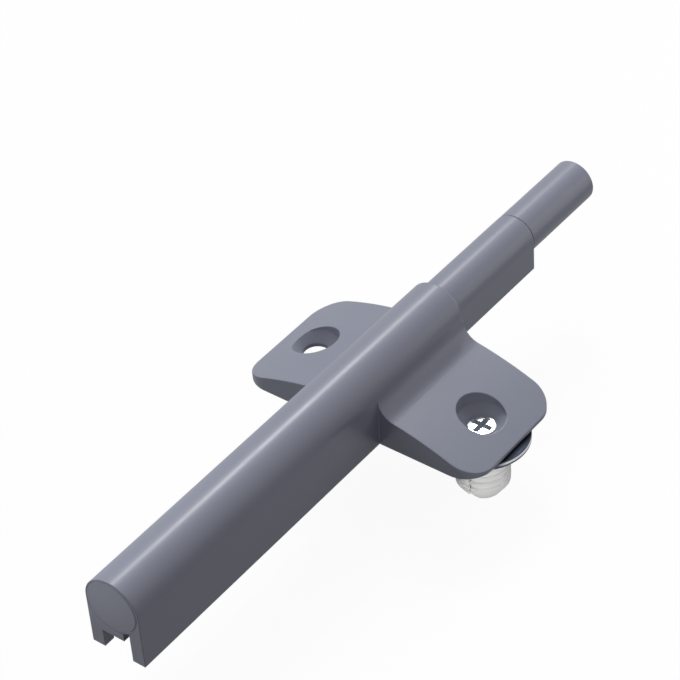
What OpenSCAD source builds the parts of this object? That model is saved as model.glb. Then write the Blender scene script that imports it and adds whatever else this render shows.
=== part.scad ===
// Telescoping door buffer in a surface-mounted adapter, with its strike disc, screw and wall dowel.
// Units are millimetres. The mounting face is z = 0, the origin lies midway between the two screw
// holes, +Y points along the plunger to its tip and +Z points away from the door or panel.

/* [Screw holes] */
// Distance between the two screw holes, across the part
hole_spacing = 32; // [28:0.5:40]
// Radius of each screw hole
hole_r = 2.25; // [1.8:0.05:2.6]
// Height of the straight wall at the foot of each screw hole
hole_wall_h = 0.6; // [0.4:0.1:1]
// Radius of the round pocket that the screw head drops into
counterbore_r = 3.9; // [3.4:0.05:4.6]
// Height of the lower edge of that pocket, where the countersink starts
counterbore_z = 2.1; // [1.6:0.1:2.6]

/* [Wings] */
// Length of the wings along the plunger
wing_len = 22.8; // [18:0.2:32]
// Wing material beyond the middle of the screw hole
wing_beyond_hole = 6.6; // [5.6:0.05:9]
// Height of the crowned top where it meets the housing
wing_root_h = 5.85; // [5:0.05:7]
// Height of the wing at its outer edge
wing_edge_h = 0.55; // [0.4:0.05:1.4]
// Radius of the gentle crown over each wing
wing_crown_r = 58; // [45:1:120]
// Radius of the outer corners, seen from above
wing_corner_r = 4.7; // [2:0.1:6]
// Radius of the fillet between a wing and the housing
wing_fillet_r = 3.5; // [1.5:0.1:3.5]
// Skin left over the cored pockets under the wings
wing_skin = 1.6; // [1.2:0.1:2]
// Wall of the boss round each screw hole
boss_wall = 1.5; // [1:0.1:2]
// Thickness of the rib between the housing and each boss
rib_t = 1.2; // [0.8:0.1:2]

/* [Housing] */
// Overall length of the tunnel-shaped housing
housing_len = 78.5; // [76:0.5:96]
// Side wall of the housing
housing_wall = 0.95; // [0.8:0.05:1.6]
// How far the housing's crown is centred below the plunger's axis
crown_drop = 0.28; // [0.2:0.02:0.44]
// Thickness of the rear end wall
end_wall = 1.9; // [1.6:0.1:3]
// Chamfer round the front mouth of the housing
mouth_chamfer = 0.35; // [0.2:0.05:0.5]
// Width of each guide rail under the sleeve
rail_w = 1.3; // [1:0.1:1.8]
// Length behind the sleeve's travel that the rails still cover
rail_margin = 4; // [2:0.5:8]
// Thickness of the cross web that stops the plunger at the front
web_t = 2; // [1.4:0.1:3]
// Height of the notch between the two rear feet
notch_h = 3.3; // [2:0.1:3.4]
// Width of the release slot beside the rear tongue
release_w = 1.18; // [0.8:0.02:1.3]
// Height of the release slot above the mounting face
release_top = 5.6; // [5:0.1:6]

/* [Rear plug] */
// Plastic left round the recess for the rear plug
plug_rim = 0.2; // [0.18:0.01:0.5]
// Width of the shadow groove round the plug's flange
plug_groove = 0.22; // [0.18:0.02:0.4]
// Thickness of the plug's flange
plug_flange_t = 0.95; // [0.7:0.05:1.1]
// Radius of the plug's stem
plug_stem_r = 3.1; // [2.6:0.1:3.3]
// Length of the plug's stem inside the end wall
plug_stem_in = 2; // [1.5:0.1:3]
// Height of the snap bead on the stem
plug_bead = 0.2; // [0.1:0.05:0.3]

/* [Plunger sleeve] */
// Height of the plunger's axis above the mounting face
axis_z = 9.5; // [8.9:0.1:10.5]
// Outer width of the sleeve
sleeve_w = 7.6; // [7.4:0.1:9]
// Distance from the axis down to the sleeve's flat underside
sleeve_drop = 5.2; // [4.8:0.05:5.4]
// Overall length of the sleeve
sleeve_len = 60; // [58:0.5:66]
// How far the sleeve stands out of the housing at rest
sleeve_out = 21.6; // [21:0.2:26]
// Working stroke of the plunger
stroke = 20; // [12:0.5:20.5]
// Clearance between the sleeve and the channel it slides in
slide_gap = 0.1; // [0.05:0.01:0.1]
// Thickness of the two skirts below the sleeve's tube
skirt_t = 0.9; // [0.7:0.05:1.2]
// Thickness of the partition between damper and tip
partition_t = 2; // [1.2:0.1:3]
// Length of the block that holds the stop key
key_block_len = 4.4; // [3.6:0.1:6]
// Length of the stop key along the plunger
key_len = 1.6; // [1.2:0.1:2.4]
// Height of the stop key's lower end above the mounting face
key_z = 1; // [0.6:0.1:2]

/* [Damper] */
// Outer radius of the damper cylinder
cylinder_r = 3; // [2.8:0.05:3.05]
// Wall of the damper cylinder
cylinder_wall = 0.55; // [0.4:0.05:0.7]
// Thickness of the cylinder's closed front end
cylinder_end_t = 1.2; // [0.8:0.1:2]
// How far the cylinder stands out behind the sleeve
cylinder_out = 1; // [0.5:0.1:2]
// Radius of the piston rod
rod_r = 0.75; // [0.6:0.05:0.9]
// Length of the piston
piston_len = 2.4; // [1.8:0.1:3]
// Length of the rod guide inside the cylinder
guide_len = 4.4; // [3:0.1:5]
// Thickness of the rod guide's flange
guide_flange_t = 0.8; // [0.5:0.1:1.2]
// Length of the rod seal
seal_len = 1.6; // [1.2:0.1:2]
// Thickness of the thin washers and clips
washer_t = 0.35; // [0.25:0.05:0.5]
// Free length between the foam and the piston at full stroke
foam_gap = 1.3; // [0.8:0.1:3]

/* [Return spring] */
// Radius of the spring wire
wire_r = 0.3; // [0.2:0.02:0.35]
// Mean radius of the coils
coil_r = 2.1; // [1.7:0.05:2.3]
// Number of turns
coils = 18; // [12:1:19]

/* [Tip] */
// Length of the tip beyond the sleeve
tip_len = 17.9; // [14:0.1:26]
// How much smaller the tip's radius is than the sleeve's
tip_step = 0.03; // [0.03:0.01:0.3]
// Width of the joint line between tip and sleeve
tip_gap = 0.1; // [0.05:0.01:0.2]
// Length of the screwed stem that the sleeve still holds with the tip screwed out
stem_grip = 8.5; // [6:0.5:10]
// Radius of the screwed stem
stem_r = 2.65; // [2.3:0.05:2.8]
// Room left behind the stem with the tip screwed in
stem_room = 3.25; // [1:0.25:4]
// Travel of the tip when it is screwed out
tip_travel = 5; // [2:0.5:6]
// Radius of the core bored out of the tip
core_r = 1.7; // [1.2:0.1:1.9]
// Length of the steel cup round the magnet
cup_len = 6; // [4:0.5:8]
// Outer radius of the steel cup
cup_r = 3; // [2.6:0.05:3.1]
// Wall of the steel cup
cup_wall = 0.45; // [0.3:0.05:0.6]
// Thickness of the cup's floor
cup_floor = 0.8; // [0.5:0.1:1.2]

/* [Strike disc, screw and dowel] */
// Radius of the strike disc
disc_r = 7.7; // [7:0.1:9]
// Sheet thickness of the strike disc
disc_t = 0.9; // [0.8:0.1:1.5]
// Rise of the disc's dome
disc_rise = 0.8; // [0.6:0.1:1.3]
// Radius of the screw head
head_r = 2.3; // [2.25:0.05:3]
// Radius of the screw's shank
shank_r = 1.45; // [1.2:0.05:1.6]
// Length of the screw
screw_len = 12; // [9:0.5:12.5]
// Width of the cross recess across its arms
cross_span = 3.3; // [2.6:0.1:3.6]
// Width of one arm of the cross recess
cross_arm = 0.75; // [0.5:0.05:0.9]
// Outer radius of the dowel over its barbs
dowel_r = 4.4; // [3.9:0.05:4.6]
// Length of the dowel
dowel_len = 10.8; // [9.8:0.2:13]
// Depth of the dowel's barbs
barb_depth = 0.28; // [0.15:0.01:0.35]
// Pitch of the dowel's barbs
barb_pitch = 1.05; // [0.8:0.05:1.3]
// Length of the dowel's tapered end
dowel_taper = 2.5; // [1.5:0.1:3]
// Width of the slot that lets the dowel spread
dowel_slot = 0.7; // [0.4:0.05:1]

/* [Hidden] */
$fn = 96;
cut = 1;
running_gap = 0.05;
face_gap = 0.05;
seat_gap = 0.03;

// housing
hole_x = hole_spacing / 2;
wing_reach = hole_x + wing_beyond_hole;
sleeve_r = sleeve_w / 2;
channel_r = sleeve_r + slide_gap;
housing_r = channel_r + housing_wall;
crown_z = axis_z - crown_drop;
front_y = wing_len / 2;
rear_y = front_y - housing_len;
end_wall_y = rear_y + end_wall;
rail_x = channel_r - rail_w;
release_x = rail_x - release_w;

// crown of the wings: a circle through the root and the outer edge
root_p = [housing_r, wing_root_h];
edge_p = [wing_reach, wing_edge_h];
chord = edge_p - root_p;
chord_len = norm(chord);
chord_up = [-chord[1], chord[0]] / chord_len;
crown_depth = sqrt(pow(wing_crown_r, 2) - pow(chord_len / 2, 2));
crown_c = (root_p + edge_p) / 2 - chord_up * crown_depth;

// fillet between wing and housing: a circle tangent to the wall and to the crown
fillet_x = housing_r + wing_fillet_r;
fillet_rise = sqrt(pow(wing_crown_r + wing_fillet_r, 2) - pow(fillet_x - crown_c[0], 2));
fillet_c = [fillet_x, crown_c[1] + fillet_rise];
fillet_dir = (fillet_c - crown_c) / norm(fillet_c - crown_c);
fillet_end = crown_c + fillet_dir * wing_crown_r;

// sleeve
sleeve_bottom = axis_z - sleeve_drop;
sleeve_front = front_y + sleeve_out;
sleeve_rear = sleeve_front - sleeve_len;
web_y = front_y - web_t;
key_y = web_y - face_gap - key_len;
key_block_y = key_y - (key_block_len - key_len) / 2;
key_w = 2 * rail_x - 4 * slide_gap;
rail_rear = sleeve_rear - stroke - rail_margin;
rail_top = sleeve_bottom - slide_gap;

// rear plug
recess_r = housing_r - plug_rim;
recess_y = rear_y + plug_flange_t + face_gap;
flange_r = recess_r - plug_groove;
plug_front = end_wall_y + plug_stem_in;
socket_depth = plug_stem_in - 0.2;

// screwed stem of the tip, in its bore in the sleeve
tip_r = sleeve_r - tip_step;
tip_rear = sleeve_front + tip_gap;
tip_front = tip_rear + tip_len;
stem_len = tip_travel + stem_grip;
stem_rear = tip_rear - stem_len;
stem_bore_r = stem_r + 2 * running_gap;
stem_bore_y = stem_rear - stem_room;
partition_y = stem_bore_y - partition_t;

// damper: it fills the sleeve from the partition to the rear end
cylinder_rear = sleeve_rear - cylinder_out;
cylinder_front = partition_y - face_gap;
cylinder_bore_r = cylinder_r - cylinder_wall;
sleeve_bore_r = cylinder_r + running_gap;
seal_y = cylinder_rear + guide_len + face_gap;
seal_washer_y = seal_y + seal_len + face_gap;
clip_y = seal_washer_y + washer_t + 2 * face_gap;
piston_y = clip_y + washer_t + seat_gap;
front_clip_y = piston_y + piston_len + seat_gap;
rod_front = front_clip_y + washer_t + face_gap;
rod_rear = plug_front - socket_depth;
foam_front = cylinder_front - cylinder_end_t - face_gap;
foam_rear = rod_front + stroke + foam_gap;
clip_groove = 0.12;
clip_r = 2 * rod_r;

// return spring
spring_seat_y = plug_front + face_gap;
spring_y0 = spring_seat_y + washer_t + face_gap + wire_r;
spring_y1 = cylinder_rear - guide_flange_t - face_gap - wire_r;
spring_steps = 12;
spring_sides = 6;

// tip
tip_chamfer = 0.25;
ring_r = 0.28;
ring_mean_r = stem_bore_r - seat_gap - ring_r;
ring_y = stem_rear + 1.3;
cup_front = tip_front - tip_gap;
cup_rear = cup_front - cup_len;
magnet_r = cup_r - cup_wall - running_gap;

// strike disc, screw and dowel
dome_r = (pow(disc_r, 2) + pow(disc_rise, 2)) / (2 * disc_rise);
dome_z = -dome_r;
countersink_slope = (counterbore_z - hole_wall_h) / (counterbore_r - hole_r);
head_z = hole_wall_h + (head_r - hole_r) * countersink_slope + seat_gap;
head_h = (head_r - shank_r) * countersink_slope;
screw_point = 3;
dowel_top = dome_z + sqrt(pow(dome_r - disc_t, 2) - pow(dowel_r, 2)) - seat_gap;
dowel_bottom = dowel_top - dowel_len;
dowel_end_r = dowel_r - 0.54 * dowel_taper;
dowel_core_r = dowel_r - barb_depth;
barbs = floor((dowel_len - dowel_taper - 1) / barb_pitch);
disc_hole_r = shank_r + 0.35;

// Shared forms

// a round bar along Y from y0 to y1, centred at height z
module bar(r, y0, y1, z = axis_z) {
    translate([0, y1, z])
        rotate([90, 0, 0])
            cylinder(r = r, h = y1 - y0);
}

// a cone along Y with radius ra at y0 and rb at y1
module taper(ra, rb, y0, y1, z = axis_z) {
    translate([0, y0, z])
        rotate([-90, 0, 0])
            cylinder(r1 = ra, r2 = rb, h = y1 - y0);
}

// a plain ring along Y
module ring(r_out, r_in, y0, y1, z = axis_z) {
    difference() {
        bar(r_out, y0, y1, z);
        bar(r_in, y0 - cut, y1 + cut, z);
    }
}

// a block between x = -half and +half, y0 to y1 and z0 to z1
module block(half, y0, y1, z0, z1) {
    translate([-half, y0, z0])
        cube([2 * half, y1 - y0, z1 - z0]);
}

// a bar with a round back and two flat sides, standing on height z0
module tunnel(r, y0, y1, z0, z) {
    bar(r, y0, y1, z);
    block(r, y0, y1, z0, z);
}

// an XZ section carried along Y from y0 to y1
module along_y(y0, y1) {
    translate([0, y1, 0])
        rotate([90, 0, 0])
            linear_extrude(height = y1 - y0)
                children();
}

// the shape that both wings share, built on +X and mirrored
module both_sides() {
    children();
    mirror([1, 0, 0])
        children();
}

// Housing

module housing_shell() {
    mouth_y = front_y - mouth_chamfer;
    tunnel(housing_r, rear_y, mouth_y, 0, crown_z);
    taper(housing_r, housing_r - mouth_chamfer, mouth_y, front_y, crown_z);
    linear_extrude(height = crown_z)
        polygon([[-housing_r, mouth_y], [housing_r, mouth_y],
                 [housing_r - mouth_chamfer, front_y], [mouth_chamfer - housing_r, front_y]]);
}

module wing_section() {
    intersection() {
        translate(crown_c)
            circle(r = wing_crown_r, $fn = 360);
        square([wing_reach, crown_z]);
    }
    difference() {
        polygon([[rail_x, wing_edge_h], [rail_x, fillet_c[1]], fillet_c, fillet_end, [fillet_end[0], wing_edge_h]]);
        translate(fillet_c)
            circle(r = wing_fillet_r);
    }
}

module wing_plan() {
    straight = wing_len / 2 - wing_corner_r;
    inner = wing_reach - wing_corner_r;
    linear_extrude(height = crown_z + cut) {
        translate([0, -wing_len / 2])
            square([inner, wing_len]);
        translate([0, -straight])
            square([wing_reach, 2 * straight]);
        for (side = [-1, 1])
            translate([inner, side * straight])
                circle(r = wing_corner_r);
    }
}

module wing() {
    intersection() {
        along_y(-wing_len / 2, wing_len / 2)
            wing_section();
        wing_plan();
    }
}

// the cored pockets under one wing, either side of its rib and round its boss
module wing_pockets() {
    depth = wing_len / 2 - wing_skin;
    difference() {
        along_y(-depth, depth)
            intersection() {
                translate(crown_c)
                    circle(r = wing_crown_r - wing_skin, $fn = 360);
                translate([housing_r + wing_skin / 2, -cut])
                    square([hole_x - housing_r - wing_skin / 2, crown_z]);
            }
        translate([hole_x, 0, -2 * cut])
            cylinder(r = counterbore_r + boss_wall, h = crown_z + 2 * cut);
        translate([0, -rib_t / 2, -2 * cut])
            cube([wing_reach, rib_t, crown_z + 2 * cut]);
    }
}

module screw_hole() {
    translate([hole_x, 0, 0]) {
        translate([0, 0, -cut])
            cylinder(r = hole_r, h = crown_z);
        translate([0, 0, hole_wall_h])
            cylinder(r1 = hole_r, r2 = counterbore_r, h = counterbore_z - hole_wall_h);
        translate([0, 0, counterbore_z])
            cylinder(r = counterbore_r, h = crown_z);
    }
}

// the channel: a fitted guide for the sleeve, open below between two rails, wider behind them
module channel() {
    tunnel(channel_r, end_wall_y, front_y + cut, rail_top, axis_z);
    block(rail_x, end_wall_y - cut / 2, web_y, -cut, rail_top + cut);
    block(channel_r, end_wall_y, rail_rear, -cut, rail_top + cut);
}

// the rear end: recess and hole for the plug, notch between the feet, release slot beside the tongue
module rear_openings() {
    bar(recess_r, rear_y - cut, recess_y, crown_z);
    bar(plug_stem_r + running_gap, rear_y, end_wall_y + cut);
    block(rail_x, rear_y - cut, end_wall_y + cut, -cut, notch_h);
    translate([release_x, rear_y - cut, 0])
        cube([release_w, end_wall + 2 * cut, release_top]);
}

module housing() {
    color("#8c909c")
        difference() {
            union() {
                housing_shell();
                both_sides()
                    wing();
            }
            both_sides() {
                wing_pockets();
                screw_hole();
            }
            channel();
            rear_openings();
        }
}

module rear_plug() {
    bead_y = end_wall_y + face_gap;
    chamfer = plug_flange_t / 4;
    color("#858995")
        difference() {
            union() {
                taper(flange_r - chamfer, flange_r, rear_y, rear_y + chamfer, crown_z);
                bar(flange_r, rear_y + chamfer, rear_y + plug_flange_t, crown_z);
                bar(plug_stem_r, rear_y + plug_flange_t / 2, plug_front);
                taper(plug_stem_r + plug_bead, plug_stem_r, bead_y, bead_y + 2 * plug_bead);
            }
            bar(rod_r + running_gap, rod_rear - face_gap, plug_front + cut);
        }
}

// Plunger sleeve

module sleeve() {
    channel_half = sleeve_r - skirt_t;
    key_top = axis_z - sleeve_r;
    color("#8c909c")
        difference() {
            tunnel(sleeve_r, sleeve_rear, sleeve_front, sleeve_bottom, axis_z);
            difference() {
                block(channel_half, sleeve_rear - cut, sleeve_front - skirt_t, sleeve_bottom - cut, axis_z);
                bar(sleeve_r, sleeve_rear - 2 * cut, sleeve_front);
                block(sleeve_r, key_block_y, key_block_y + key_block_len, sleeve_bottom - 2 * cut, axis_z + cut);
            }
            block(key_w / 2 + running_gap, key_y - running_gap, key_y + key_len + running_gap, sleeve_bottom - cut, key_top);
            bar(sleeve_bore_r, sleeve_rear - cut, partition_y);
            bar(stem_bore_r, stem_bore_y, sleeve_front + cut);
        }
}

module stop_key() {
    color("#3f4249")
        block(key_w / 2, key_y, key_y + key_len, key_z, axis_z - sleeve_r - face_gap);
}

// Damper

module damper_cylinder() {
    color("#d9dadc")
        difference() {
            bar(cylinder_r, cylinder_rear, cylinder_front);
            bar(cylinder_bore_r, cylinder_rear - cut, cylinder_front - cylinder_end_t);
        }
}

module rod_guide() {
    color("#2b2d31")
        difference() {
            union() {
                bar(cylinder_r, cylinder_rear - guide_flange_t, cylinder_rear);
                bar(cylinder_bore_r, cylinder_rear - cut / 2, cylinder_rear + guide_len);
            }
            bar(rod_r + running_gap, cylinder_rear - guide_flange_t - cut, cylinder_rear + guide_len + cut);
        }
}

// a lip seal: an outer ring and a thin inner lip with an open cup towards the oil
module rod_seal() {
    lip_r = rod_r + seat_gap;
    cup_in = lip_r + 0.45;
    cup_out = cylinder_bore_r - 0.45;
    color("#1b1c1e")
        difference() {
            ring(cylinder_bore_r, lip_r, seal_y, seal_y + seal_len);
            ring(cup_out, cup_in, seal_y + seal_len / 2, seal_y + seal_len + cut);
        }
}

module seal_washer() {
    color("#b9bcc1")
        ring(cylinder_bore_r - running_gap, rod_r + 2 * running_gap, seal_washer_y, seal_washer_y + washer_t);
}

module piston_rod() {
    color("#c9ccd1")
        difference() {
            bar(rod_r, rod_rear, rod_front);
            for (y = [clip_y, front_clip_y])
                ring(rod_r + cut, rod_r - clip_groove, y, y + washer_t);
        }
}

// the piston has four bleed grooves and a wide groove that the valve ring floats in
module piston() {
    piston_r = cylinder_bore_r - running_gap;
    land = piston_len / 3;
    groove_r = piston_r - 0.5;
    color("#b08d57")
        difference() {
            ring(piston_r, rod_r + running_gap / 2, piston_y, piston_y + piston_len);
            ring(piston_r + cut, groove_r, piston_y + land, piston_y + 2 * land);
            for (turn = [0:90:270])
                translate([0, piston_y - cut, axis_z])
                    rotate([0, turn, 0])
                        translate([piston_r, 0, 0])
                            rotate([-90, 0, 0])
                                cylinder(r = 0.2, h = piston_len + 2 * cut);
        }
}

module valve_ring() {
    piston_r = cylinder_bore_r - running_gap;
    land = piston_len / 3;
    color("#e9e7e0")
        ring(cylinder_bore_r - seat_gap, piston_r - 0.4, piston_y + land + face_gap, piston_y + 2 * land - face_gap);
}

module piston_clips() {
    color("#8f9399")
        for (y = [clip_y, front_clip_y])
            ring(clip_r, rod_r - clip_groove + seat_gap / 2, y + seat_gap / 2, y + washer_t - seat_gap / 2);
}

module volume_foam() {
    color("#55585e")
        bar(cylinder_bore_r - 2 * running_gap, foam_rear, foam_front);
}

module spring_washer() {
    color("#b9bcc1")
        ring(coil_r + 2 * wire_r, rod_r + 2 * running_gap, spring_seat_y, spring_seat_y + washer_t);
}

// height along Y of the spring after a share t of its turns: the first and last turns lie closed
function spring_y(t) =
    let (closed = 1 / coils, pitch = 2 * wire_r, rest = spring_y1 - spring_y0 - 2 * pitch)
        t < closed ? spring_y0 + pitch * t / closed :
        t > 1 - closed ? spring_y1 - pitch * (1 - t) / closed :
        spring_y0 + pitch + rest * (t - closed) / (1 - 2 * closed);

module return_spring() {
    steps = coils * spring_steps;
    points = [for (i = [0:steps])
                 let (turn = 360 * i / spring_steps, y = spring_y(i / steps))
                     for (k = [0:spring_sides - 1])
                         let (a = 360 * k / spring_sides, r = coil_r + wire_r * cos(a))
                             [r * cos(turn), y + wire_r * sin(a), axis_z - r * sin(turn)]];
    walls = [for (i = [0:steps - 1])
                 for (k = [0:spring_sides - 1])
                     let (a = i * spring_sides + k, b = i * spring_sides + (k + 1) % spring_sides)
                         [a, a + spring_sides, b + spring_sides, b]];
    first = [for (k = [0:spring_sides - 1]) k];
    last = [for (k = [spring_sides - 1:-1:0]) steps * spring_sides + k];
    color("#a9adb3")
        polyhedron(points = points, faces = concat(walls, [first], [last]));
}

// Tip

module tip() {
    groove_half = ring_r + face_gap;
    color("#8c909c")
        difference() {
            union() {
                bar(tip_r, tip_rear, tip_front - tip_chamfer);
                taper(tip_r, tip_r - tip_chamfer, tip_front - tip_chamfer, tip_front);
                bar(stem_r, stem_rear + tip_chamfer, tip_rear + cut);
                taper(stem_r - tip_chamfer, stem_r, stem_rear, stem_rear + tip_chamfer);
            }
            bar(core_r, stem_rear - cut, cup_rear - 3 * cut);
            ring(stem_r + cut, ring_mean_r - ring_r - seat_gap, ring_y - groove_half, ring_y + groove_half);
            bar(cup_r + running_gap, cup_rear - face_gap, tip_front + cut);
        }
}

module friction_ring() {
    color("#1b1c1e")
        translate([0, ring_y, axis_z])
            rotate([90, 0, 0])
                rotate_extrude()
                    translate([ring_mean_r, 0])
                        circle(r = ring_r, $fn = 24);
}

module pole_cup() {
    color("#c3c6cb")
        difference() {
            bar(cup_r, cup_rear, cup_front);
            bar(cup_r - cup_wall, cup_rear + cup_floor, cup_front + cut);
        }
}

module magnet() {
    color("#9da1a8")
        bar(magnet_r, cup_rear + cup_floor + face_gap, cup_front);
}

// Strike disc, screw and dowel under the right wing

module strike_disc() {
    color("#c3c6cb")
        translate([hole_x, 0, 0])
            difference() {
                intersection() {
                    translate([0, 0, dome_z])
                        sphere(r = dome_r, $fn = 360);
                    translate([0, 0, -disc_rise - disc_t - cut])
                        cylinder(r = disc_r, h = disc_rise + disc_t + 2 * cut);
                }
                translate([0, 0, dome_z])
                    sphere(r = dome_r - disc_t, $fn = 360);
                translate([0, 0, -disc_t - disc_rise])
                    cylinder(r = disc_hole_r, h = disc_t + disc_rise + cut);
            }
}

module wall_screw() {
    point_z = head_z - screw_len;
    color("#d5d7da")
        translate([hole_x, 0, 0])
            difference() {
                union() {
                    translate([0, 0, head_z - head_h])
                        cylinder(r1 = shank_r, r2 = head_r, h = head_h);
                    translate([0, 0, point_z + screw_point])
                        cylinder(r = shank_r, h = screw_len - screw_point - head_h / 2);
                    translate([0, 0, point_z])
                        cylinder(r1 = 0.2, r2 = shank_r, h = screw_point);
                }
                intersection() {
                    translate([0, 0, head_z - 2 * head_h])
                        cylinder(r1 = 0.3, r2 = cross_span / 2, h = 2 * head_h);
                    for (turn = [0, 90])
                        rotate([0, 0, turn])
                            translate([-cross_span, -cross_arm / 2, head_z - 1.6 * head_h])
                                cube([2 * cross_span, cross_arm, 2 * head_h]);
                }
                translate([0, 0, head_z])
                    intersection() {
                        cylinder(r = cross_span / 2, h = cut);
                        for (turn = [0, 90])
                            rotate([0, 0, turn])
                                translate([-cross_span, -cross_arm / 2, -cut / 2])
                                    cube([2 * cross_span, cross_arm, cut]);
                    }
            }
}

module dowel() {
    taper_z = dowel_bottom + dowel_taper;
    first_barb = taper_z + barbs * barb_pitch;
    barb_points = [for (i = [barbs - 1:-1:0])
                       let (z = taper_z + i * barb_pitch)
                           each [[dowel_r, z + barb_pitch], [dowel_core_r, z]]];
    section = concat([[0, dowel_bottom], [0, dowel_top], [dowel_r, dowel_top]],
                     [[dowel_core_r, first_barb + barb_depth]],
                     barb_points,
                     [[dowel_end_r, dowel_bottom]]);
    notch_w = 3 * dowel_slot;
    color("#d6d6d3")
        translate([hole_x, 0, 0])
            difference() {
                rotate_extrude()
                    polygon(section);
                translate([0, 0, dowel_bottom - cut])
                    cylinder(r = shank_r + running_gap, h = dowel_len + 2 * cut);
                translate([-dowel_slot / 2, -dowel_r - cut, dowel_bottom - cut])
                    cube([dowel_slot, 2 * dowel_r + 2 * cut, dowel_len - dowel_taper + cut]);
                translate([0, dowel_r + cut, dowel_bottom])
                    rotate([90, 0, 0])
                        linear_extrude(height = 2 * dowel_r + 2 * cut)
                            polygon([[-notch_w / 2, -cut / 2], [notch_w / 2, -cut / 2], [0, notch_w]]);
            }
}

// What is drawn

housing();
rear_plug();
spring_washer();
return_spring();
piston_rod();
piston();
valve_ring();
piston_clips();
sleeve();
stop_key();
damper_cylinder();
rod_guide();
rod_seal();
seal_washer();
volume_foam();
tip();
friction_ring();
pole_cup();
magnet();
strike_disc();
wall_screw();
dowel();
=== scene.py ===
# %% [markdown]
# # A sprung door buffer in its winged holder
# The buffer is a small grey plastic fitting for a cabinet door. A round-topped tunnel holds a
# sprung, damped plunger, and two crowned wings screw it down. Under the right wing hang the parts
# that come with it: a domed steel disc, a countersunk screw and a split wall dowel.
# Every size comes from the construction model, which this script loads first and never changes.

# %% Load the construction model
import math

import bmesh
import bpy
from mathutils import Matrix, Vector


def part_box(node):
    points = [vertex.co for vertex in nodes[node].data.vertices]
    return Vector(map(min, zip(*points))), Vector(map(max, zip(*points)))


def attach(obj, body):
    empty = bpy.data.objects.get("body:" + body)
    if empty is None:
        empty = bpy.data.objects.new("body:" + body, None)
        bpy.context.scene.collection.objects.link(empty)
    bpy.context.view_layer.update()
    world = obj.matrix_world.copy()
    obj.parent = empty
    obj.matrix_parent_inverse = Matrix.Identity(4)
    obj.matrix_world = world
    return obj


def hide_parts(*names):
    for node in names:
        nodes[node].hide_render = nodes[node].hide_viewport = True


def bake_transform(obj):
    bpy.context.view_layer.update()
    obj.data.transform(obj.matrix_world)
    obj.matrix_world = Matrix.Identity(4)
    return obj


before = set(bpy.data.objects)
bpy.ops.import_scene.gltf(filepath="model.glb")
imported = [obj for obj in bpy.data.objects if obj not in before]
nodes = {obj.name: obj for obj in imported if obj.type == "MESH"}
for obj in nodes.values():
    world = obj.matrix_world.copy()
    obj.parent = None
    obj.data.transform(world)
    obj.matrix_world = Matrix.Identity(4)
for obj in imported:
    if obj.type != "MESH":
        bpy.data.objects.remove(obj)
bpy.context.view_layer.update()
scene = bpy.context.scene
print("pieces in the construction model:", len(nodes))

# %% [markdown]
# ## Millimetres
# The fitting was drawn in millimetres and Blender works in metres, so a point is written as it is
# on the drawing and turned into metres by one small function. Three axes are used throughout and
# are read from the model: the upright one that the screw, the disc and the dowel share, and the
# lengthwise ones of the plunger and of the plug behind it.

# %% Write points in millimetres and read the axes
MM = 0.001


def mm(x, y, z):
    return Vector((x * MM, y * MM, z * MM))


def per_mm(size):
    """A texture's scale, from the size in millimetres of one spot, grain or wave."""
    return 1.0 / (size * MM)


def middle(name):
    """The middle of a solid, in millimetres."""
    return [round((a + b) / 2 / MM, 2) for a, b in zip(*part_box(name))]


SCREW_X = middle("wall_screw")[0]
PLUNGER_Z = middle("magnet")[2]
PLUG_Z = middle("rear_plug")[2]
low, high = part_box("housing")
print("housing spans", [round((b - a) / MM, 2) for a, b in zip(low, high)], "mm")
print("axes: screw at x", SCREW_X, "plunger at z", PLUNGER_Z, "plug at z", PLUG_Z)

# %% [markdown]
# ## Camera
# A small part is photographed from well away with a long lens, which keeps its sides nearly
# parallel. The place and turn were worked out from the straight edges and round ends in the
# picture. A camera looks along its own -Z, so its columns are right, up and backwards.

# %% Place the camera
camera_data = bpy.data.cameras.new("camera")
camera_data.sensor_width = 36.0
camera_data.lens = 132.604
camera_data.clip_start = 0.01
camera = bpy.data.objects.new("camera", camera_data)
scene.collection.objects.link(camera)
right = Vector((0.797894, 0.600077, -0.057211)).normalized()
forward = Vector((-0.490024, 0.590427, -0.641305)).normalized()
up = right.cross(forward)
turn = Matrix((right, up, -forward)).transposed().to_4x4()
camera.matrix_world = Matrix.Translation(Vector((0.182793, -0.233473, 0.259116))) @ turn
scene.camera = camera
scene.view_settings.view_transform = "Standard"
print("camera stands", round(camera.matrix_world.translation.length, 3), "m from the origin")

# %% [markdown]
# ## Helpers for node trees
# Materials and Geometry Nodes are both trees of nodes. One function adds a node, sets its
# properties, fills its sockets and links them, which keeps each recipe as short as its idea.

# %% Add a node, and turn a hex colour to linear
def add(tree, kind, sockets=None, **settings):
    node = tree.nodes.new(kind)
    for name, value in settings.items():
        setattr(node, name, value)
    for key, value in (sockets or {}).items():
        if isinstance(value, bpy.types.NodeSocket):
            tree.links.new(value, node.inputs[key])
        else:
            node.inputs[key].default_value = value
    return node


def linear(hex_colour):
    """An sRGB hex colour as linear RGBA, which is what Blender's sockets expect."""
    channels = [int(hex_colour[i : i + 2], 16) / 255 for i in (1, 3, 5)]
    return (*[c / 12.92 if c <= 0.04045 else ((c + 0.055) / 1.055) ** 2.4 for c in channels], 1.0)


print("middle grey #8c909c is", [round(c, 3) for c in linear("#8c909c")[:3]])

# %% [markdown]
# ## Floor and surroundings
# A catalogue picture stands on white, so the camera sees the floor and the world as plain white.
# In reflections they are a pale grey, because satin plastic that is seen along its surface would
# glare otherwise. To the soft light that reaches the part they are a dim grey, so the faces that
# turn away from the lamp stay dark. The floor keeps the part's shadow, because a share of what the
# camera sees of it is ordinary lit paint.

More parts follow.
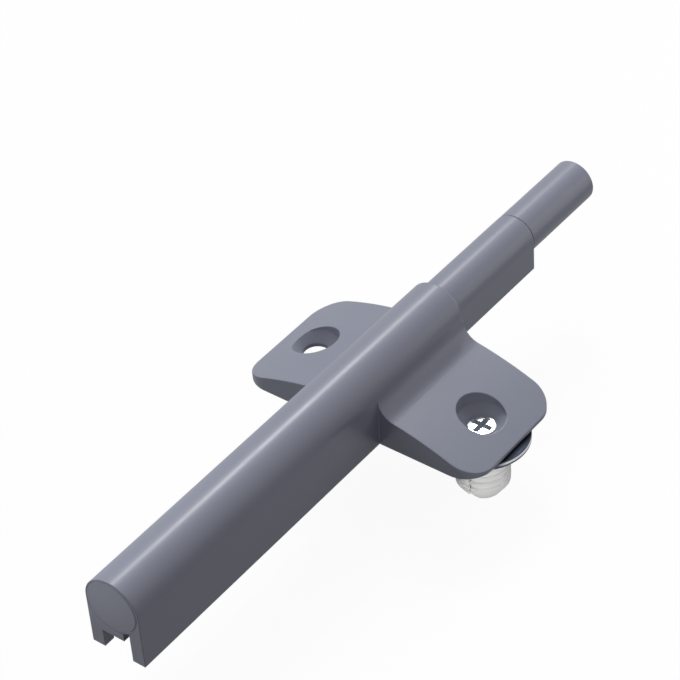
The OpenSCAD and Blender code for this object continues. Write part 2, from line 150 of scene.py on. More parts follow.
# %% Make the white surroundings
AMBIENT = 0.31
MIRRORED = 0.52
PLAIN_WHITE = (1, 1, 1, 1)


def seen_ray(tree):
    """1 for rays that show a surface: camera, mirror and glass rays."""
    path = add(tree, "ShaderNodeLightPath")
    seen = path.outputs["Is Camera Ray"]
    for kind in ("Is Glossy Ray", "Is Transmission Ray"):
        either = add(tree, "ShaderNodeMath", {0: seen, 1: path.outputs[kind]}, operation="MAXIMUM")
        seen = either.outputs[0]
    return seen


def whiteness(tree):
    """Full strength for the camera, and less in reflections."""
    path = add(tree, "ShaderNodeLightPath")
    level = add(tree, "ShaderNodeMapRange", {
        "Value": path.outputs["Is Glossy Ray"], "To Min": 1.0, "To Max": MIRRORED})
    return level.outputs[0]


world = bpy.data.worlds.new("studio")
world.use_nodes = True
tree = world.node_tree
tree.nodes.clear()
dim = add(tree, "ShaderNodeBackground", {"Color": linear("#fdf9ff"), "Strength": AMBIENT})
white = add(tree, "ShaderNodeBackground", {"Color": PLAIN_WHITE, "Strength": whiteness(tree)})
pick = add(tree, "ShaderNodeMixShader", {0: seen_ray(tree), 1: dim.outputs[0], 2: white.outputs[0]})
add(tree, "ShaderNodeOutputWorld", {"Surface": pick.outputs[0]})
scene.world = world
print("world: dim light", AMBIENT, "and reflections at", MIRRORED)

# %% Lay the floor just under the dowel's end
FLOOR_Z = -12.1
FLOOR_HALF = 3000
LIT_SHARE = 0.06
floor_mesh = bpy.data.meshes.new("floor")
corners = [mm(x * FLOOR_HALF, y * FLOOR_HALF, FLOOR_Z) for x, y in ((-1, -1), (1, -1), (1, 1), (-1, 1))]
floor_mesh.from_pydata(corners, [], [(0, 1, 2, 3)])
floor = bpy.data.objects.new("floor", floor_mesh)
scene.collection.objects.link(floor)
paint = bpy.data.materials.new("white_floor_paint")
paint.use_nodes = True
tree = paint.node_tree
tree.nodes.clear()
lit = add(tree, "ShaderNodeBsdfDiffuse", {"Color": linear("#fafafa")})
glow = add(tree, "ShaderNodeEmission", {"Color": PLAIN_WHITE, "Strength": whiteness(tree)})
shown = add(tree, "ShaderNodeMixShader", {0: 1 - LIT_SHARE, 1: lit.outputs[0], 2: glow.outputs[0]})
dull = add(tree, "ShaderNodeBsdfDiffuse", {"Color": linear("#3c3e43")})
pick = add(tree, "ShaderNodeMixShader", {0: seen_ray(tree), 1: dull.outputs[0], 2: shown.outputs[0]})
add(tree, "ShaderNodeOutputMaterial", {"Surface": pick.outputs[0]})
floor_mesh.materials.append(paint)
print("floor at", FLOOR_Z, "mm")

# %% [markdown]
# ## Lamps
# The main lamp stands high behind the left shoulder of the part. Its direction was found from the
# narrow highlight on the round backs: the lamp stands where the camera's line of sight would bounce
# to. A photographer polarises such a lamp so that plastic shows its colour and not a glare, which
# is done here by hiding it from mirror rays. A smaller lamp in the same place, left unpolarised,
# draws the one thin highlight. A weak fill stands in front, for the faces turned to the camera.
# A small card far behind lights the thin edges, and two lamps with snoots reach what the broad
# light misses: the pale dowel under the wing and the corner of the end wall.

# %% Hang the lamps
def hang(name, data, power, aim, towards, distance, mirrored):
    """Hang a lamp at a distance from what it is aimed at, shown in mirror images or hidden from them."""
    towards = towards.normalized()
    data.energy = power
    lamp = bpy.data.objects.new(name, data)
    facing = towards.to_track_quat("Z", "Y").to_matrix().to_4x4()
    lamp.matrix_world = Matrix.Translation(aim + towards * distance) @ facing
    lamp.visible_glossy = mirrored
    scene.collection.objects.link(lamp)


def soft_disc(name, size):
    data = bpy.data.lights.new(name, "AREA")
    data.shape = "DISK"
    data.size = size
    return data


PART = mm(0, 0, 0)
HIGH_BEHIND = Vector((-0.37, 0.55, 0.755))
BOUNCE = Vector((-0.355, 0.535, 0.767))
IN_FRONT = Vector((-0.5, -0.78, 0.34))
hang("polarised_main_lamp", soft_disc("polarised_main_lamp", size=2.6), power=55.5,
     aim=PART, towards=HIGH_BEHIND, distance=3.0, mirrored=False)
hang("front_fill", soft_disc("front_fill", size=1.2), power=3.3,
     aim=PART, towards=IN_FRONT, distance=1.5, mirrored=False)
hang("highlight_lamp", soft_disc("highlight_lamp", size=0.34), power=17.0,
     aim=PART, towards=BOUNCE, distance=3.0, mirrored=True)

# %% Stand a small white card beyond the tip
PLUNGER = mm(0, 30, 9)
to_card = mm(80, 125, 12) - PLUNGER
hang("edge_card", soft_disc("edge_card", size=0.12), power=0.034,
     aim=PLUNGER, towards=to_card, distance=to_card.length, mirrored=True)
print("card stands", round(to_card.length / MM), "mm from the plunger")

# %% Aim one snoot at the dowel and one at the corner of the end wall
SNOOT_AWAY = 0.4


def snoot(name, cone, blend, bulb):
    data = bpy.data.lights.new(name, "SPOT")
    data.spot_size = math.radians(cone)
    data.spot_blend = blend
    data.shadow_soft_size = bulb * MM
    return data


hang("dowel_snoot", snoot("dowel_snoot", cone=2.2, blend=0.3, bulb=3), power=3.4,
     aim=mm(SCREW_X, 0, -8.6), towards=Vector((0.60, -0.79, 0.05)), distance=SNOOT_AWAY, mirrored=False)
hang("end_wall_snoot", snoot("end_wall_snoot", cone=3.6, blend=1.0, bulb=2), power=1.3,
     aim=mm(-5.5, -67, 15.5), towards=Vector((-0.35, -0.9, 0.25)), distance=SNOOT_AWAY, mirrored=False)

# %% [markdown]
# ## Moulded plastic
# The holder, the plunger and the tip are injection-moulded in a cool grey ABS. The mould was
# lightly blasted, which gives the eye a satin skin: a soft-edged highlight, no mirror image, and a
# colour that drifts by a hair where the melt flowed. Three noises at three real sizes make it: flow
# marks 14 mm long, a patchiness of the shine 3 mm wide, and a 0.3 mm grain. A blasted mould's own
# grain is near 0.05 mm, too fine to show, so it is drawn coarser. No moulded edge is knife-sharp,
# so a Bevel node turns the normals within 0.3 mm of every edge.

# %% Make the plastics
FLOW, PATCH = 14, 3
SHINE_DRIFT = 0.03
ABS_IOR = 1.49


def start(name):
    material = bpy.data.materials.new(name)
    material.use_nodes = True
    tree = material.node_tree
    tree.nodes.clear()
    skin = add(tree, "ShaderNodeBsdfPrincipled")
    add(tree, "ShaderNodeOutputMaterial", {"Surface": skin.outputs["BSDF"]})
    place = add(tree, "ShaderNodeTexCoord").outputs["Object"]
    return material, tree, skin, place


def moulded(name, dark, light, rough, grain=0.3, depth=0.004, edge=0.3):
    material, tree, skin, place = start(name)
    flow = add(tree, "ShaderNodeTexNoise", {"Vector": place, "Scale": per_mm(FLOW), "Detail": 3.0})
    tint = add(tree, "ShaderNodeMix", {0: flow.outputs["Fac"], 6: linear(dark), 7: linear(light)},
               data_type="RGBA")
    patches = add(tree, "ShaderNodeTexNoise", {"Vector": place, "Scale": per_mm(PATCH), "Detail": 2.0})
    shine = add(tree, "ShaderNodeMapRange", {
        "Value": patches.outputs["Fac"], "To Min": rough - SHINE_DRIFT, "To Max": rough + SHINE_DRIFT})
    spark = add(tree, "ShaderNodeTexNoise", {"Vector": place, "Scale": per_mm(grain), "Detail": 2.0})
    soft = add(tree, "ShaderNodeBevel", {"Radius": edge * MM}, samples=8)
    bump = add(tree, "ShaderNodeBump", {
        "Height": spark.outputs["Fac"], "Strength": 1.0, "Distance": depth * MM,
        "Normal": soft.outputs[0]})
    tree.links.new(tint.outputs[2], skin.inputs["Base Color"])
    tree.links.new(shine.outputs[0], skin.inputs["Roughness"])
    tree.links.new(bump.outputs[0], skin.inputs["Normal"])
    skin.inputs["IOR"].default_value = ABS_IOR
    return material


# The holder, plunger and tip: cool grey with a satin skin.
grey_abs = moulded("satin_moulded_grey_abs", "#8a8e9d", "#9094a2", 0.31)
# The plug from another mould: a shade lighter, with crisper edges that keep the joint's line thin.
plug_abs = moulded("satin_moulded_plug_abs", "#8c909f", "#9296a4", 0.31, edge=0.02)
# Slippery guides and key: near black, a little duller than the grey.
black_acetal = moulded("moulded_black_acetal", "#3b3e45", "#44474f", 0.38)
# The cylinder and valve ring: milk white with a soft shine.
white_acetal = moulded("moulded_white_acetal", "#d9dadd", "#e2e3e5", 0.30)
# The dowel, left undyed: off-white and waxy, with hardly any highlight.
natural_nylon = moulded("moulded_natural_nylon", "#ececea", "#f2f2f0", 0.45, grain=0.4)
print("plastics:", grey_abs.name, plug_abs.name, natural_nylon.name)

# %% [markdown]
# ## Metals
# A metal has no colour under its shine, so its look is its reflection and the marks of how it was
# made. A noise gives those marks, drawn out along the way the tool went, and sets both the shine and
# a relief of a few thousandths of a millimetre. The painted shade in the screw's cross and the rubber
# and foam inside are no metals, so they take the plastics' recipe.

# %% Make the metals
# Painted light: the dark plate colour is painted shade on the steel disc, and the bright one is the
# painted highlight on its rim.
PAINTED_SHADE_PLATE, PAINTED_HIGHLIGHT_METAL = "#586070", "#fcfdff"


def metal(name, colour, rough, mark, depth, drawn=(1, 1, 1)):
    material, tree, skin, place = start(name)
    pulled = add(tree, "ShaderNodeMapping", {"Vector": place, "Scale": drawn})
    marks = add(tree, "ShaderNodeTexNoise", {
        "Vector": pulled.outputs[0], "Scale": per_mm(mark), "Detail": 3.0})
    bump = add(tree, "ShaderNodeBump", {
        "Height": marks.outputs["Fac"], "Strength": 1.0, "Distance": depth * MM})
    shine = add(tree, "ShaderNodeMapRange", {
        "Value": marks.outputs["Fac"], "To Min": rough * 0.8, "To Max": rough * 1.2})
    tree.links.new(bump.outputs[0], skin.inputs["Normal"])
    tree.links.new(shine.outputs[0], skin.inputs["Roughness"])
    skin.inputs["Base Color"].default_value = linear(colour)
    skin.inputs["Metallic"].default_value = 1.0
    return material


# The disc's sheet: a dark, slightly blurred mirror. Its dark colour is painted shade, for the wing's
# shade that the steel disc mirrors.
painted_shade_disc_plate = metal("disc_plate_with_painted_shade", PAINTED_SHADE_PLATE, 0.3, 0.8, 0.002)
# The screw: clear zinc, which looks white where it mirrors the surroundings.
zinc_plate = metal("bright_zinc_plate", "#f4f5f6", 0.22, 0.5, 0.002)
# The rod and washers, ground to size: fine rings and a clean shine.
ground_steel = metal("ground_steel_rod", "#c5c7ca", 0.2, 0.25, 0.001, drawn=(1, 8, 1))
# The spring and clips: greyer, with the die's short marks.
spring_wire = metal("drawn_spring_wire", "#a3a5a8", 0.3, 0.2, 0.002)
# The magnet and its cup: a warm grey, tumbled satin.
cup_plate = metal("satin_nickel_cup", "#c9c7c2", 0.28, 0.5, 0.002)
# The piston, straight from the lathe: yellow with close rings.
turned_brass = metal("turned_brass", "#c9a45c", 0.26, 0.2, 0.002, drawn=(1, 6, 1))
# The seal and the friction ring: black and matt.
nitrile = moulded("black_nitrile_rubber", "#1b1b1d", "#232326", 0.62, grain=0.5)
# Painted shade in the screw's cross and under its head: a dull grey in place of the zinc's sparkle.
painted_recess_shade = moulded("painted_shade_in_zinc_recess", "#a3aeb6", "#b1bbc2", 0.35, grain=0.5)
# The foam sleeve: matt, with pores that can be seen.
foam = moulded("grey_closed_cell_foam", "#55585c", "#66696e", 0.85, grain=0.6, depth=0.05)
print("metals:", painted_shade_disc_plate.name, zinc_plate.name)

# %% Paint a highlight on the side of the disc's rim towards +x
# The band round the rim carries a painted highlight on that side only, so the bright colour comes in
# with x.
HIGHLIGHT_STARTS, HIGHLIGHT_FULL = 22.1, 22.95
rim_painted_highlight = metal("rim_with_painted_highlight", PAINTED_HIGHLIGHT_METAL, 0.14, 0.3, 0.001, drawn=(1, 1, 6))
tree = rim_painted_highlight.node_tree
place = add(tree, "ShaderNodeTexCoord").outputs["Object"]
sideways = add(tree, "ShaderNodeVectorMath", {0: place, 1: (1.0, 0.0, 0.0)}, operation="DOT_PRODUCT")
highlight_share = add(tree, "ShaderNodeMapRange", {
    "Value": sideways.outputs["Value"], "From Min": HIGHLIGHT_STARTS * MM, "From Max": HIGHLIGHT_FULL * MM})
rim_paint = add(tree, "ShaderNodeMix", {
    0: highlight_share.outputs[0], 6: linear(PAINTED_SHADE_PLATE), 7: linear(PAINTED_HIGHLIGHT_METAL)}, data_type="RGBA")
tree.links.new(rim_paint.outputs[2], tree.nodes["Principled BSDF"].inputs["Base Color"])
print("rim:", rim_painted_highlight.name)

# %% Give each piece of the construction model its finish
FINISH = {
    "housing": grey_abs, "sleeve": grey_abs, "tip": grey_abs, "rear_plug": plug_abs,
    "stop_key": black_acetal, "rod_guide": black_acetal, "damper_cylinder": white_acetal,
    "valve_ring": white_acetal, "dowel": natural_nylon, "strike_disc": painted_shade_disc_plate,
    "wall_screw": zinc_plate, "piston_rod": ground_steel, "spring_washer": ground_steel,
    "seal_washer": ground_steel, "piston_clips": spring_wire, "return_spring": spring_wire,
    "piston": turned_brass, "rod_seal": nitrile, "friction_ring": nitrile, "volume_foam": foam,
    "pole_cup": cup_plate, "magnet": cup_plate,
}
for name, finish in FINISH.items():
    for slot in nodes[name].material_slots:
        slot.material = finish
print("pieces without a finish:", sorted(set(nodes) - set(FINISH)) or "none")

# %% [markdown]
# ## Turned pieces
# The disc and the screw are round, so they are made as a lathe makes them: a section is drawn as
# radius and height, and carried once round. Points on the axis become one shared point, and each
# stretch of the section may have its own finish.

# %% Turn a section round the screw's axis
TAU = 2 * math.pi


def lathe(name, section, closed, finishes, zones=None, steps=96):
    """Turn (radius, height) points; zones gives the finish of each stretch between two points."""
    rings, points = [], []
    for radius, height in section:
        count = steps if radius else 1
        rings.append(range(len(points), len(points) + count))
        turns = [TAU * i / steps for i in range(count)]
        points += [mm(SCREW_X + radius * math.cos(a), radius * math.sin(a), height) for a in turns]
    faces, indices = [], []
    pairs = list(zip(rings, rings[1:])) + ([(rings[-1], rings[0])] if closed else [])
    for zone, (a, b) in enumerate(pairs):
        for i in range(steps):
            j = (i + 1) % steps
            face = [a[i % len(a)], a[j % len(a)], b[j % len(b)], b[i % len(b)]]
            faces.append([v for k, v in enumerate(face) if v not in face[:k]])
            indices.append(zones[zone] if zones else 0)
    mesh = bpy.data.meshes.new(name)
    mesh.from_pydata(points, [], faces)
    for finish in finishes:
        mesh.materials.append(finish)
    for face, index in zip(mesh.polygons, indices):
        face.material_index = index
    return settle(name, mesh)


def settle(name, mesh, smooth=35.0):
    """Make a piece of a mesh: normals turned outward, and smooth shading except over sharp edges."""
    form = bmesh.new()
    form.from_mesh(mesh)
    bmesh.ops.remove_doubles(form, verts=form.verts, dist=1e-7)
    bmesh.ops.recalc_face_normals(form, faces=form.faces)
    form.to_mesh(mesh)
    form.free()
    mesh.shade_smooth()
    mesh.set_sharp_from_angle(angle=math.radians(smooth))
    piece = bpy.data.objects.new(name, mesh)
    scene.collection.objects.link(piece)
    return piece


# %% [markdown]
# ## Joint round the rear plug
# The plug is pressed into the end wall. On the finished part the joint is a shallow shadow line over
# the top that dies out at the lower left, because the plug sits a hair crooked. A thin ring of
# plastic fills the joint, and its face is tilted to do the same.

# %% Fill the joint round the plug
# The plug's face ends at FACE_R, where its chamfer starts; its side stands at SIDE_R, and the hole
# in the end wall at HOLE_R. The ring follows the chamfer down, deepest towards DEEPEST, and reaches
# back from the chamfer's foot to BACK, both counted from the plug's face.
FACE_R, SIDE_R, HOLE_R = 4.195, 4.435, 4.645
CHAMFER_FOOT, BACK = 0.25, 0.45
TILT = 0.11
DEEPEST = math.radians(35)
RING_STEPS = 96
face_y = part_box("rear_plug")[0][1] / MM
points, faces = [], []
for i in range(RING_STEPS):
    a = TAU * i / RING_STEPS
    sunk = TILT * (1 + math.cos(a - DEEPEST))
    section = [(FACE_R + sunk, sunk), (HOLE_R, sunk), (HOLE_R, BACK), (SIDE_R, BACK)]
    section += [(SIDE_R, CHAMFER_FOOT)]
    for radius, depth in section:
        points.append(mm(radius * math.cos(a), face_y + depth, PLUG_Z + radius * math.sin(a)))
    n = len(section)
    here, after = n * i, n * ((i + 1) % RING_STEPS)
    faces += [[here + k, here + (k + 1) % n, after + (k + 1) % n, after + k] for k in range(n)]
mesh = bpy.data.meshes.new("plug_joint")
mesh.from_pydata(points, [], faces)
mesh.materials.append(plug_abs)
plug_joint = settle("plug_joint", mesh)
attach(plug_joint, "housing_body")
print("plug face at", round(face_y, 2), "mm")

# %% [markdown]
# ## Strike disc
# The magnet in the tip meets this disc on the door. It is pressed from 0.9 mm sheet into a shallow
# dome. Its edge is left square and then broken by a file. A band round it has a painted highlight,
# with painted shade, the dark plate colour, above and below. It is turned, because the solid's own edge
# is plain.

# %% Turn the strike disc
DISC_R, DISC_HOLE_R = 7.7, 1.8
DOME_RISE = 0.8
DOME_R = (DISC_R**2 + DOME_RISE**2) / (2 * DOME_RISE)
SHEET = 0.9
BREAK = 0.14


def dome(radius, sheet=0.0):
    """Height of the dome at a radius, on top or a sheet's thickness below."""
    return -DOME_R + math.sqrt((DOME_R - sheet) ** 2 - radius**2)


section = [(DISC_HOLE_R, dome(DISC_HOLE_R, SHEET) + 0.01), (DISC_HOLE_R, dome(DISC_HOLE_R) - 0.06)]
section += [(r, dome(r)) for r in (1.86, 2.6, 3.6, 4.6, 5.6, 6.6, DISC_R - 0.3, DISC_R - BREAK)]
section += [(DISC_R - 0.04, dome(DISC_R) - 0.03), (DISC_R, dome(DISC_R) - BREAK)]
section += [(DISC_R, dome(DISC_R) - 0.44), (DISC_R - 0.02, dome(DISC_R, SHEET) + 0.12)]
section += [(r, dome(r, SHEET)) for r in (DISC_R - 0.16, 6.6, 5.4, 4.2, 3.0)]
# The two stretches that meet at this point take the painted highlight.
highlight_band_at = section.index((DISC_R, dome(DISC_R) - BREAK))
disc = lathe("turned_strike_disc", section, True, (painted_shade_disc_plate, rim_painted_highlight),
             [int(highlight_band_at - 1 <= i <= highlight_band_at) for i in range(len(section))])
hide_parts("strike_disc")
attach(disc, "housing_body")
print("disc faces:", len(disc.data.polygons))

# %% [markdown]
# ## Screw
# A countersunk wood screw: a turned head, a core that ends in a point, and a rolled thread. The
# cross is punched with a tapered tool, so it is cut here by a tapered cross with the Boolean
# modifier, and the cut faces take the tool's own finish, a dull grey of painted shade. The same
# painted shade darkens the edge under the head, where it meets the pocket.

# %% Turn the screw's blank
HEAD_R, HEAD_Z = 2.45, 0.88
CORE_R = 1.08
section = [(0, HEAD_Z + 0.04), (1.2, HEAD_Z + 0.03), (2.1, HEAD_Z + 0.01), (HEAD_R - 0.08, HEAD_Z)]
section += [(HEAD_R, HEAD_Z - 0.06), (HEAD_R - 0.03, HEAD_Z - 0.09), (1.5, -0.04), (1.42, -0.2)]
section += [(1.42, -1.1), (CORE_R, -1.4), (CORE_R, -8.9), (0.3, -11.0), (0, -11.25)]
# Stretches 3 to 5, the head's edge and underside, take the painted shade.
blank = lathe("wood_screw", section, False, (zinc_plate, painted_recess_shade),
              [int(3 <= i <= 5) for i in range(len(section))], steps=64)
print("screw blank faces:", len(blank.data.polygons))

# %% Punch the cross
CROSS_SPAN, CROSS_ARM, CROSS_DEPTH = 3.9, 0.95, 0.95
CROSS_TAPER = 0.6


def tapered_cross(span, arm, top, bottom, taper):
    a, s = arm / 2, span / 2
    quarter = [(s, -a), (s, a), (a, a)]
    outline = quarter + [(-y, x) for x, y in quarter]
    outline += [(-x, -y) for x, y in outline]
    ends = ((1.0, top), (taper, bottom))
    points = [mm(SCREW_X + x * k, y * k, z) for k, z in ends for x, y in outline]
    faces = [list(range(11, -1, -1)), list(range(12, 24))]
    faces += [[i, (i + 1) % 12, 12 + (i + 1) % 12, 12 + i] for i in range(12)]
    mesh = bpy.data.meshes.new("cross_punch")
    mesh.from_pydata(points, [], faces)
    mesh.materials.append(painted_recess_shade)
    return settle("cross_punch", mesh)


def cut_from(blank, tool, name):
    cut = blank.modifiers.new("cut", "BOOLEAN")
    cut.operation = "DIFFERENCE"
    cut.solver = "EXACT"
    cut.material_mode = "TRANSFER"
    cut.object = tool
    evaluated = blank.evaluated_get(bpy.context.evaluated_depsgraph_get())
    piece = settle(name, bpy.data.meshes.new_from_object(evaluated))
    for spare in (blank, tool):
        bpy.data.objects.remove(spare)
    return piece


punch = tapered_cross(CROSS_SPAN, CROSS_ARM, HEAD_Z + 0.2, HEAD_Z - CROSS_DEPTH, CROSS_TAPER)
screw = cut_from(blank, punch, "punched_wood_screw")
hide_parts("wall_screw")
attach(screw, "housing_body")
print("screw faces:", len(screw.data.polygons), "finishes:", [m.name for m in screw.data.materials])

# %% [markdown]
# ## Dowel
# The dowel spreads in its hole when the screw goes in. It is moulded from natural nylon with barbs
# round it that slide in and don't slide out, a tapered end, a slot that lets it open and a notch
# that starts the slot. A barbed section is turned, then one tool shaped like an arrow is cut
# through it, turned a little as the dowel is in the picture.

# %% Turn and slot the dowel
DOWEL_R, BORE_R = 4.4, 1.5
RIB, BARB = 1.25, 0.32
RIBS, FIRST_RIB = 5, -2.5
SLOT, NOTCH = 0.09, 1.25
SLOT_TOP, NOTCH_TOP, BELOW = -3.7, -10.1, -12.4
CLEAR_THROUGH = 6
LEAN = math.radians(6)
section = [(BORE_R, -1.26), (DOWEL_R - 0.1, -1.22), (DOWEL_R, -1.34), (DOWEL_R, -1.5)]
section += [(DOWEL_R - BARB, -2.42)]
for i in range(RIBS):
    top = FIRST_RIB - RIB * i
    section += [(DOWEL_R, top), (DOWEL_R, top - 0.16), (DOWEL_R - BARB, top - RIB + 0.08)]
section += [(DOWEL_R, -8.75), (DOWEL_R - 0.04, -9.86), (3.08, -11.78), (2.95, -11.93), (2.7, -11.98)]
section += [(BORE_R, -11.98)]
plain_dowel = lathe("plain_dowel", section, True, (natural_nylon,))
outline = [(-NOTCH, BELOW), (NOTCH, BELOW), (SLOT, NOTCH_TOP), (SLOT, SLOT_TOP)]
outline += [(-SLOT, SLOT_TOP), (-SLOT, NOTCH_TOP)]
across, along = Vector((math.cos(LEAN), math.sin(LEAN), 0)), Vector((-math.sin(LEAN), math.cos(LEAN), 0))
points = [mm(*(across * x + along * y + Vector((SCREW_X, 0, z))))
          for y in (-CLEAR_THROUGH, CLEAR_THROUGH) for x, z in outline]
faces = [list(range(6)), list(range(11, 5, -1))]
faces += [[i, 6 + i, 6 + (i + 1) % 6, (i + 1) % 6] for i in range(6)]
mesh = bpy.data.meshes.new("slot_tool")
mesh.from_pydata(points, [], faces)
mesh.materials.append(natural_nylon)
dowel = cut_from(plain_dowel, settle("slot_tool", mesh), "slotted_dowel")
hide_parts("dowel")
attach(dowel, "housing_body")
print("dowel faces:", len(dowel.data.polygons))

# %% [markdown]
# ## Threads
# A thread is one ridge that follows a helix, which is a rule, so Geometry Nodes make it: a spiral
# curve gets a four-cornered section whose outer corner is the crest. The same tree makes the
# screw's thread, the thread on the tip's stem, and any other, from named sizes.

# %% Build the thread's tree
def new_tree(name, sockets):
    tree = bpy.data.node_groups.new(name, "GeometryNodeTree")
    for label, kind in sockets:
        tree.interface.new_socket(name=label, in_out="INPUT", socket_type=kind)
    tree.interface.new_socket(name="Geometry", in_out="OUTPUT", socket_type="NodeSocketGeometry")
    return tree, tree.nodes.new("NodeGroupInput").outputs


thread_tree, given = new_tree("helical_ridge", [
    ("First Radius", "NodeSocketFloat"), ("Last Radius", "NodeSocketFloat"),
    ("Turns", "NodeSocketFloat"), ("Length", "NodeSocketFloat"), ("Depth", "NodeSocketFloat"),
    ("Place", "NodeSocketVector"), ("Turned", "NodeSocketVector"), ("Finish", "NodeSocketMaterial")])
path = add(thread_tree, "GeometryNodeCurveSpiral", {
    "Resolution": 40, "Rotations": given["Turns"], "Start Radius": given["First Radius"],
    "End Radius": given["Last Radius"], "Height": given["Length"], "Reverse": True})
upright = add(thread_tree, "GeometryNodeSetCurveNormal", {"Curve": path.outputs[0]}, mode="Z_UP")
ridge = add(thread_tree, "GeometryNodeCurvePrimitiveCircle", {"Resolution": 4, "Radius": given["Depth"]})
swept = add(thread_tree, "GeometryNodeCurveToMesh", {
    "Curve": upright.outputs[0], "Profile Curve": ridge.outputs[0], "Fill Caps": True})
moved = add(thread_tree, "GeometryNodeTransform", {
    "Geometry": swept.outputs[0], "Translation": given["Place"], "Rotation": given["Turned"]})
real = add(thread_tree, "GeometryNodeRealizeInstances", {0: moved.outputs[0]})
dressed = add(thread_tree, "GeometryNodeSetMaterial", {
    "Geometry": real.outputs[0], "Material": given["Finish"]})
add(thread_tree, "NodeGroupOutput", {0: dressed.outputs[0]})
print("thread tree nodes:", len(thread_tree.nodes))

# %% Grow a piece from a tree
def grow(name, tree, values, smooth=35.0):
    host = bpy.data.objects.new(name + "_host", bpy.data.meshes.new(name + "_host"))
    scene.collection.objects.link(host)
    modifier = host.modifiers.new("nodes", "NODES")
    modifier.node_group = tree
    inputs = [item for item in tree.interface.items_tree if item.in_out == "INPUT"]
    sockets = {item.name: item.identifier for item in inputs}
    for label, value in values.items():
        modifier[sockets[label]] = value
    host.data.update()
    mesh = bpy.data.meshes.new_from_object(host.evaluated_get(bpy.context.evaluated_depsgraph_get()))
    bpy.data.objects.remove(host)
    return settle(name, mesh, smooth)


SCREW_CREST = 0.34
screw_threads = {"screw_thread": (CORE_R, 6.0, 7.2, -8.9), "screw_point_thread": (0.2, 2.0, 2.1, -11.0)}
for name, (first, turns, length, foot) in screw_threads.items():
    thread = grow(name, thread_tree, {
        "First Radius": first * MM, "Last Radius": CORE_R * MM, "Turns": turns, "Length": length * MM,
        "Depth": SCREW_CREST * MM, "Place": mm(SCREW_X, 0, foot), "Turned": (0.0, 0.0, 0.0),
        "Finish": zinc_plate})
    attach(thread, "housing_body")
    print(name, "faces:", len(thread.data.polygons))

# %% Cut the tip's stem thread
STEM_R, STEM_CREST, STEM_START = 2.6, 0.13, 32.4
PITCH, STEM_TURNS = 1.25, 8.0
stem_thread = grow("stem_thread", thread_tree, {
    "First Radius": STEM_R * MM, "Last Radius": STEM_R * MM, "Turns": STEM_TURNS,
    "Length": STEM_TURNS * PITCH * MM, "Depth": STEM_CREST * MM,
    "Place": mm(0, STEM_START, PLUNGER_Z), "Turned": (math.pi / 2, 0.0, 0.0), "Finish": grey_abs})
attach(stem_thread, "tip_screw")
reach = [vertex.co.y / MM for vertex in stem_thread.data.vertices]
print("stem thread from", round(min(reach), 2), "to", round(max(reach), 2), "mm")

# %% [markdown]
# ## Return spring
# The spring behind the plunger is drawn wire wound on a mandrel, with its two end turns closed so
# that it stands square. Its height follows a rule along its length: slow, fast, slow. Three clamped
# map ranges add up to that rule, and the wire is a true round section. It shortens with the
# plunger, but here it is wound once, at the length of the solid, and not tied to a body.

# %% Build the spring's tree
POINTS_A_TURN = 28.0
spring_tree, given = new_tree("closed_end_spring", [
    ("Wire Radius", "NodeSocketFloat"), ("Coil Radius", "NodeSocketFloat"),
    ("Turns", "NodeSocketFloat"), ("Seat", "NodeSocketFloat"), ("Axis Height", "NodeSocketFloat"),
    ("Closed Share", "NodeSocketFloat"), ("Closed Rise", "NodeSocketFloat"),
    ("Open Rise", "NodeSocketFloat"), ("Finish", "NodeSocketMaterial")])
line = add(spring_tree, "GeometryNodeCurvePrimitiveLine", {"End": (1.0, 0.0, 0.0)})
steps = add(spring_tree, "ShaderNodeMath", {0: given["Turns"], 1: POINTS_A_TURN}, operation="MULTIPLY")
beads = add(spring_tree, "GeometryNodeResampleCurve", {
    "Curve": line.outputs[0], "Count": steps.outputs[0]})
share = add(spring_tree, "GeometryNodeSplineParameter").outputs["Factor"]
rest_share = add(spring_tree, "ShaderNodeMath", {0: 1.0, 1: given["Closed Share"]}, operation="SUBTRACT")
foot = add(spring_tree, "ShaderNodeMath", {0: given["Seat"], 1: given["Closed Rise"]})
low_rise = add(spring_tree, "ShaderNodeMapRange", {
    "Value": share, "From Max": given["Closed Share"], "To Min": given["Seat"],
    "To Max": foot.outputs[0]})
mid_rise = add(spring_tree, "ShaderNodeMapRange", {
    "Value": share, "From Min": given["Closed Share"], "From Max": rest_share.outputs[0],
    "To Max": given["Open Rise"]})
top_rise = add(spring_tree, "ShaderNodeMapRange", {
    "Value": share, "From Min": rest_share.outputs[0], "From Max": 1.0, "To Max": given["Closed Rise"]})
two = add(spring_tree, "ShaderNodeMath", {0: low_rise.outputs[0], 1: mid_rise.outputs[0]})
along = add(spring_tree, "ShaderNodeMath", {0: two.outputs[0], 1: top_rise.outputs[0]})
spin = add(spring_tree, "ShaderNodeMath", {0: share, 1: given["Turns"]}, operation="MULTIPLY")
angle = add(spring_tree, "ShaderNodeMath", {0: spin.outputs[0], 1: TAU}, operation="MULTIPLY")
cosine = add(spring_tree, "ShaderNodeMath", {0: angle.outputs[0]}, operation="COSINE")
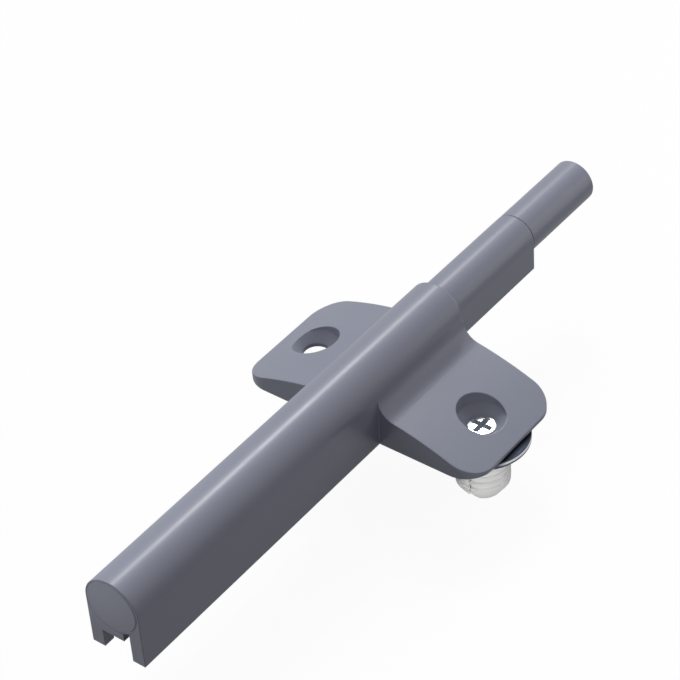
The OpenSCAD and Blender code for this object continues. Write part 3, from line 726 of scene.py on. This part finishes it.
sine = add(spring_tree, "ShaderNodeMath", {0: angle.outputs[0]}, operation="SINE")
across = add(spring_tree, "ShaderNodeMath", {0: cosine.outputs[0], 1: given["Coil Radius"]},
             operation="MULTIPLY")
rise = add(spring_tree, "ShaderNodeMath", {0: sine.outputs[0], 1: given["Coil Radius"]},
           operation="MULTIPLY")
height = add(spring_tree, "ShaderNodeMath", {0: given["Axis Height"], 1: rise.outputs[0]},
             operation="SUBTRACT")
point = add(spring_tree, "ShaderNodeCombineXYZ", {
    0: across.outputs[0], 1: along.outputs[0], 2: height.outputs[0]})
helix = add(spring_tree, "GeometryNodeSetPosition", {
    "Geometry": beads.outputs[0], "Position": point.outputs[0]})
wire = add(spring_tree, "GeometryNodeCurvePrimitiveCircle", {
    "Resolution": 12, "Radius": given["Wire Radius"]})
swept = add(spring_tree, "GeometryNodeCurveToMesh", {
    "Curve": helix.outputs[0], "Profile Curve": wire.outputs[0], "Fill Caps": True})
real = add(spring_tree, "GeometryNodeRealizeInstances", {0: swept.outputs[0]})
dressed = add(spring_tree, "GeometryNodeSetMaterial", {
    "Geometry": real.outputs[0], "Material": given["Finish"]})
add(spring_tree, "NodeGroupOutput", {0: dressed.outputs[0]})
print("spring tree nodes:", len(spring_tree.nodes))

# %% Wind the spring between its seats
# The wire's centre line ends INSET inside the solid's ends.
WIRE, COIL, TURNS = 0.29, 2.1, 18
CLOSED = 0.6
INSET = 0.3
low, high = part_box("return_spring")
seat = low[1] / MM + INSET
last = high[1] / MM - INSET
spring = grow("wound_return_spring", spring_tree, {
    "Wire Radius": WIRE * MM, "Coil Radius": COIL * MM, "Turns": float(TURNS), "Seat": seat * MM,
    "Axis Height": PLUNGER_Z * MM, "Closed Share": 1 / TURNS, "Closed Rise": CLOSED * MM,
    "Open Rise": (last - seat - 2 * CLOSED) * MM, "Finish": spring_wire}, smooth=60.0)
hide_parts("return_spring")
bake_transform(spring)
print("spring from", round(seat, 2), "to", round(last, 2), "mm, faces:", len(spring.data.polygons))
